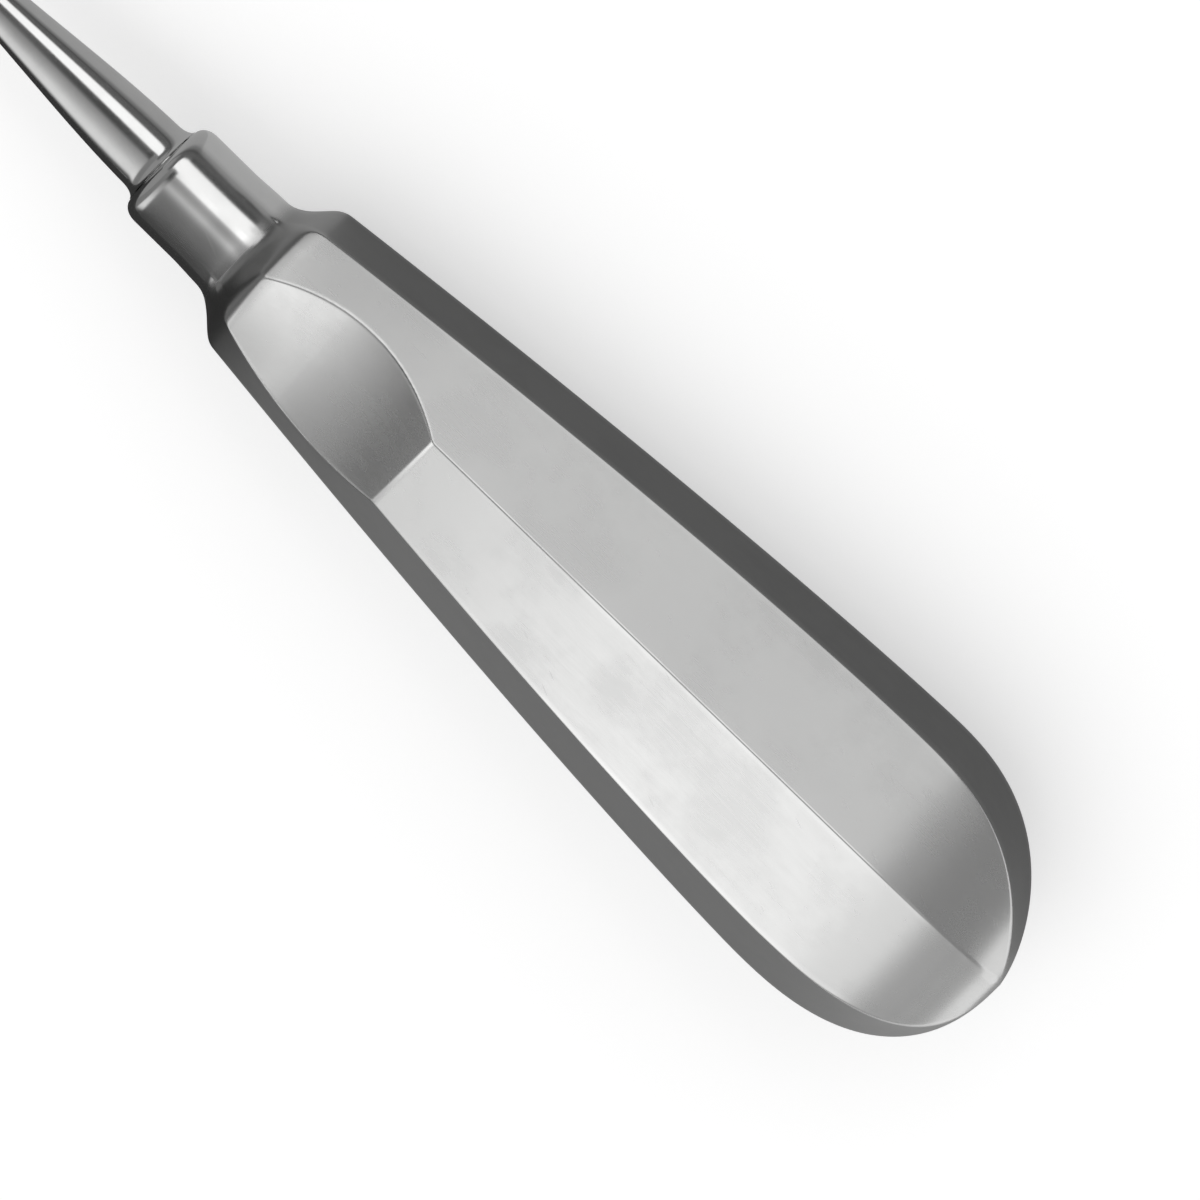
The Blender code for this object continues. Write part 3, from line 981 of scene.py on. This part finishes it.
def add_glow(name, material, rows):
    """A sheet through rows of points, each with its tone, that only polished steel sees."""
    across = len(rows[0])
    faces = []
    for row in range(len(rows) - 1):
        for column in range(across - 1):
            near = row * across + column
            faces.append((near, near + 1, near + across + 1, near + across))
    spots = [spot for row in rows for spot in row]
    sheet = add_sheet(name, [tuple(point) for point, tone in spots], faces, material)
    store(sheet.data, "tone", [tone for point, tone in spots])
    for ray in ("camera", "diffuse", "shadow", "transmission", "volume_scatter"):
        setattr(sheet, "visible_" + ray, False)


# The tent round the tool. Lean is across the tool and tip is along it towards the blade, in degrees.
TENT_RADIUS = 1.6
TENT_STEP = 1.5
TENT_LEAN = 93.0
TENT_TIP = 90.0
TENT_TOP_TONE = 0.45
STRIP_TONE = 1.22
STRIP_LEAN = (-69.5, -27.5)
STRIP_TIP = (-7.0, 28.0)
STRIP_CAP = 12.0
STRIP_SOFT = 2.5
STRIP_END_SOFT = 5.0
FAR_SIDE_TONE = 0.12
BESIDE_STRIP_TONE = 0.44
BESIDE_STRIP_LEAN = (-88.0, -80.0)
BESIDE_STRIP_TIP = (-14.0, 0.0)
SOFTBOX_TONE = 1.38
SOFTBOX_RISE = (-16.0, 24.0)
SOFTBOX_FALL = (60.0, 84.0)
SOFTBOX_FRONT = (10.0, 27.0)
SOFTBOX_DIP = 0.80
SOFTBOX_DIP_TIP = (-60.0, -9.0)
SOFTBOX_DIP_SOFT = 5.0
SOFTBOX_SIDE_TONE = 0.34
FRONT_TONE = 0.30
NOSE_TONE = 0.30
NOSE_TIP = (46.0, 66.0)


def soft_edge(value, edge, soft):
    """Rises from 0 to 1 across a soft edge."""
    return smooth_step(value, edge - soft, edge + soft)


def strip_share(lean, tip):
    """1 on the bright strip, which ends in a round cap towards the blade, with soft edges."""
    low, high = STRIP_LEAN
    half = 0.5 * (high - low)
    beyond = max(0.0, tip - STRIP_TIP[1]) * half / STRIP_CAP
    outside = soft_edge(math.hypot(lean - 0.5 * (low + high), beyond), half, STRIP_SOFT)
    return (1.0 - outside) * soft_edge(tip, STRIP_TIP[0], STRIP_END_SOFT)


def tent_tone(lean, tip):
    """Tone of the studio tent in one direction."""
    beside_strip = smooth_step(lean, *BESIDE_STRIP_LEAN) * (1.0 - smooth_step(tip, *BESIDE_STRIP_TIP))
    far_side = mix(FAR_SIDE_TONE, BESIDE_STRIP_TONE, beside_strip)
    rise = smooth_step(lean, *SOFTBOX_RISE)
    fall = smooth_step(lean, *SOFTBOX_FALL)
    low_dip, high_dip = [soft_edge(tip, edge, SOFTBOX_DIP_SOFT) for edge in SOFTBOX_DIP_TIP]
    dip = 1.0 - (1.0 - SOFTBOX_DIP) * low_dip * (1.0 - high_dip)
    softbox = SOFTBOX_TONE * dip * rise * (1.0 - fall) + SOFTBOX_SIDE_TONE * fall
    tone = mix(far_side, TENT_TOP_TONE, soft_edge(lean, STRIP_LEAN[1], STRIP_SOFT))
    tone = mix(tone, softbox, rise)
    tone = mix(tone, min(tone, FRONT_TONE), smooth_step(tip, *SOFTBOX_FRONT))
    tone = mix(tone, STRIP_TONE, strip_share(lean, tip))
    return mix(tone, NOSE_TONE, smooth_step(tip, *NOSE_TIP))


def add_tent(material, centre):
    """The tent over the tool: a narrow bright strip on one side, a wide soft glow on the other."""
    leans, tips = [np.arange(-edge, edge + 0.5 * TENT_STEP, TENT_STEP) for edge in (TENT_LEAN, TENT_TIP)]
    rows = []
    for tip in tips:
        along, level = math.sin(math.radians(tip)), math.cos(math.radians(tip))
        row = []
        for lean in leans:
            toward = round_axis(along, level, math.radians(lean))
            row.append((centre + TENT_RADIUS * toward, tent_tone(lean, tip)))
        rows.append(row)
    add_glow("studio_tent", material, rows)


# Cards on the floor: where each starts and ends along the tool, then each row's y and tone
CARD_END = 1.7
BUTT_X = -0.050
COLLAR_X = 0.0372
SHANK_X = 0.0492
FLOOR_CARDS = (
    ("card_handle_far_side", BUTT_X, COLLAR_X, ((-CARD_END, 0.20), (0.0, 0.22))),
    ("card_handle_near_side", BUTT_X, COLLAR_X, ((0.0, 0.32), (CARD_END, 0.32))),
    ("card_collar_far_floor", COLLAR_X, SHANK_X,
     ((-CARD_END, 0.14), (-0.10, 0.22), (-0.031, 0.32), (-0.018, 0.46), (0.0, 0.46))),
    ("card_shank_far_side", SHANK_X, CARD_END,
     ((-CARD_END, 0.08), (-0.09, 0.08), (-0.030, 0.22), (-0.0175, 0.36), (0.0, 0.39))),
    ("card_collar_near_side", COLLAR_X, CARD_END, ((0.0, 0.04), (CARD_END, 0.05))),
)

# The card behind the butt: its place, its columns' y and their shares, and its rows' tones
BUTT_CARD_DISTANCE = 0.080
BUTT_CARD_HEIGHT = 0.150
BUTT_CARD_COLUMNS = ((-0.30, 0.62), (-0.004, 0.62), (0.010, 1.0), (0.30, 1.0))
BUTT_CARD_TONES = (0.62, 0.56, 0.46, 0.56, 0.44, 0.54, 0.46, 0.52, 0.60, 0.72, 0.86)

# Curved cards round the tool: bands of angle from the front ridge, in degrees, and tone. A band without
# a tone of its own takes the tent's.
COLLAR_BANDS = (
    (-18.0, 1.25), (-7.2, 1.25), (-4.6, 0.50), (-2.5, 0.44), (2.2, 0.36), (6.9, 0.39), (11.7, 0.46),
    (16.4, 0.60), (21.1, 0.54), (25.9, 0.38), (30.6, 0.27), (35.3, 0.22), (44.8, 0.175), (54.3, 0.16),
    (73.4, 0.11), (92.6, 0.078), (112.0, 0.07),
)
COLLAR_FAR_BANDS = ((-62.0, 0.13), (-55.0, 0.09), (-49.0, 0.05), (-45.0, 0.10), (-42.9, 0.35))
NECK_SIDE_BANDS = ((78.0, 0.20), (90.0, 0.10), (112.0, 0.07))
SHANK_BANDS = (
    (-14.5, 0.30), (-11.0, 0.12), (-7.5, 0.07), (2.5, 0.07), (7.4, 0.10), (17.3, 0.315), (27.2, 0.39),
    (37.2, 0.47), (47.1, 0.565), (57.0, 0.68), (66.9, 0.79), (88.0, 0.85), (97.0, 0.62), (103.0, 0.25),
    (108.0, 0.10), (115.0, 0.03),
)
REST_BANDS = tuple((angle, 1.0) for angle in range(18, 79, 10))
HOLLOW_END_BANDS = ((18.0, 1.05), (34.0, 1.05), (39.0, 0.95), (44.0, 0.66), (50.0, 0.48), (78.0, 0.40))
FAR_FACET_BANDS = (
    (-72.0, 0.12), (-62.0, 0.30), (-54.0, 0.72), (-46.0, 0.91), (-38.0, 0.82), (-30.0, 0.72),
)
GLOW_BANDS = tuple((angle, None) for angle in range(18, 84, 5))

# Each curved card's name, radius and bands, then its columns: how far past the flare's end each is, and
# its part of the bands' tones. A column may also add a tone of its own and stretch the bands' angles.
Column = namedtuple("Column", "past part added stretch", defaults=(0.0, 1.0))
ARC_CARDS = (
    ("card_collar", 0.040, COLLAR_BANDS, ((0.0004, 1.30), (0.0039, 1.10), (0.0074, 0.94), (0.0102, 0.90))),
    ("card_collar_far_side", 0.040, COLLAR_FAR_BANDS, ((0.0004, 1.0), (0.0102, 1.0))),
    ("card_neck_side", 0.040, NECK_SIDE_BANDS, ((-0.0046, 1.0), (0.0004, 1.0))),
    ("card_shank", 0.160, SHANK_BANDS,
     ((0.0139, 1.0, 0.0, 0.93), (0.0584, 1.0, 0.0, 1.07), (0.0664, 0.0, 0.22, 1.07),
      (0.140, 0.0, 0.22, 1.07))),
    ("card_thumb_rest", 0.040, REST_BANDS,
     ((-0.0132, 1.05), (-0.0102, 0.60), (-0.0046, 0.40), (0.0002, 0.31))),
    ("card_hollow_end", 0.020, HOLLOW_END_BANDS,
     ((-0.0181, 1.30), (-0.0149, 1.45), (-0.0134, 1.65), (-0.0115, 0.95))),
    ("card_far_facet", 0.050, FAR_FACET_BANDS, ((-0.0700, 1.0), (-0.0120, 1.0), (0.0017, 0.68))),
    ("card_wide_facet", 0.250, GLOW_BANDS,
     ((-0.0366, 1.25), (-0.0296, 1.40), (-0.0196, 1.15), (-0.0096, 0.84), (0.0004, 0.58), (0.0104, 0.36),
      (0.0204, 0.28))),
)


def add_arc_card(material, shape, name, radius, bands, columns):
    """One curved card round the tool's axis."""
    matrix = shape.lay_down()
    rows = []
    for angle, tone in bands:
        if tone is None:
            tone = tent_tone(angle - math.degrees(shape.sizes.facet_tilt), 0.0)
        row = []
        for column in columns:
            past, part, added, stretch = Column(*column)
            point = round_axis(shape.flare_end_x + past, radius, math.radians(angle * stretch))
            row.append((matrix @ point, tone * part + added))
        rows.append(row)
    add_glow(name, material, rows)


def add_cards(material, shape):
    """Cards on the floor, one behind the butt, and curved ones over the facets, rest, collar and shank."""
    floor_z = FLOOR_Z - CARD_DROP
    for name, low_x, high_x, bands in FLOOR_CARDS:
        add_glow(name, material, [[((x, y, floor_z), tone) for x in (low_x, high_x)] for y, tone in bands])
    card_x = CAD_LOW.x - BUTT_CARD_DISTANCE
    rows = []
    for index, tone in enumerate(BUTT_CARD_TONES):
        z = FLOOR_Z + BUTT_CARD_HEIGHT * index / (len(BUTT_CARD_TONES) - 1)
        rows.append([((card_x, y, z), tone * part) for y, part in BUTT_CARD_COLUMNS])
    add_glow("card_butt", material, rows)
    for card in ARC_CARDS:
        add_arc_card(material, shape, *card)


# Each lamp's name, its lean across the tool and tip along it in degrees, its distance, its size across
# and along, and its brightness
LAMPS = (
    ("strip_softbox", -50.0, 3.0, 0.80, 0.40, 0.80, 0.86),
    ("wide_softbox", 30.0, -10.0, 0.80, 0.80, 1.00, 0.58),
)


def add_lamps(centre):
    """Softboxes that light the floor and give the soft shadow; the steel mirrors the tent instead."""
    for name, lean, tip, distance, size_across, size_along, brightness in LAMPS:
        lamp = bpy.data.lights.new(name, "AREA")
        lamp.shape = "RECTANGLE"
        lamp.size = size_along
        lamp.size_y = size_across
        lamp.energy = brightness * math.pi * size_across * size_along
        turn = Euler((-math.radians(lean), math.radians(tip), 0.0), "XYZ")
        thing = placed(name, lamp)
        thing.rotation_euler = turn
        thing.location = centre + turn.to_matrix() @ Vector((0.0, 0.0, distance))
        thing.visible_camera = False
        thing.visible_glossy = False


LENS_NEAR = 0.01
LENS_FAR = 100.0


def add_camera(settings, shape):
    """A long lens over the front ridge, turned so that the tool runs across the picture as photographed."""
    turn = shape.turn()
    roll, slope = settings.view_roll, settings.axis_angle
    toward = Vector((0.0, -math.sin(roll), math.cos(roll)))
    across = Vector((0.0, math.cos(roll), math.sin(roll)))
    along = Vector((1.0, 0.0, 0.0))
    right = turn @ (-math.cos(slope) * along - math.sin(slope) * across)
    up = turn @ (math.sin(slope) * along - math.cos(slope) * across)
    back = turn @ toward
    aim = shape.lay_down() @ (settings.centre_along * along + settings.centre_across * across)
    lens = bpy.data.cameras.new("long_lens")
    lens.lens = lens.sensor_width * settings.camera_distance / settings.picture_width
    lens.clip_start = LENS_NEAR
    lens.clip_end = LENS_FAR
    camera = placed("long_lens", lens)
    place = Matrix((right, up, back)).transposed().to_4x4()
    place.translation = aim + back * settings.camera_distance
    camera.matrix_world = place
    bpy.context.scene.camera = camera


class SCENE_OT_elevator_stage(bpy.types.Operator):
    """Sets the floor, the lamps, the cards and the camera"""

    bl_idname = "scene.elevator_stage_add"
    bl_label = "Studio stage"
    bl_options = {"REGISTER", "UNDO"}

    def execute(self, context):
        scene = context.scene
        settings = scene.elevator_stage
        shape = HandleShape(scene.elevator_handle)
        centre = shape.lay_down() @ Vector((settings.centre_along, 0.0, 0.0))
        light_the_world(settings)
        add_floor(settings)
        glow = glow_material()
        add_cards(glow, shape)
        add_tent(glow, centre)
        add_lamps(centre)
        add_camera(settings, shape)
        scene.view_settings.view_transform = "Standard"
        return {"FINISHED"}


class VIEW3D_PT_elevator(bpy.types.Panel):
    """Lists the elevator's pieces and sizes"""

    bl_label = "Winged elevator"
    bl_idname = "VIEW3D_PT_elevator"
    bl_space_type = "VIEW_3D"
    bl_region_type = "UI"
    bl_category = "Elevator"

    def draw(self, context):
        for operator in OPERATORS:
            self.layout.operator(operator.bl_idname)
        for name in SETTINGS:
            box = self.layout.box()
            group = getattr(context.scene, name)
            for field in group.bl_rna.properties.keys():
                if field not in ("rna_type", "name"):
                    box.prop(group, field)


SETTINGS = {
    "elevator_handle": HandleSizes,
    "elevator_thumb_rest": ThumbRestSizes,
    "elevator_blade": BladeSizes,
    "elevator_finish": SteelFinish,
    "elevator_stage": StageSettings,
}
OPERATORS = (MESH_OT_elevator_handle, MESH_OT_elevator_blade, SCENE_OT_elevator_stage)
CLASSES = (*SETTINGS.values(), *OPERATORS, VIEW3D_PT_elevator)


def register():
    """Registers the classes and hangs the settings on the scene."""
    for made in CLASSES:
        bpy.utils.register_class(made)
    for name, group in SETTINGS.items():
        setattr(bpy.types.Scene, name, PointerProperty(type=group))


def unregister():
    """Takes the settings and the classes away again."""
    for name in SETTINGS:
        delattr(bpy.types.Scene, name)
    for made in reversed(CLASSES):
        bpy.utils.unregister_class(made)


def main():
    """Makes the pieces and the stage."""
    register()
    bpy.ops.mesh.elevator_handle_add()
    bpy.ops.mesh.elevator_blade_add()
    bpy.ops.scene.elevator_stage_add()


if __name__ == "__main__":
    main()
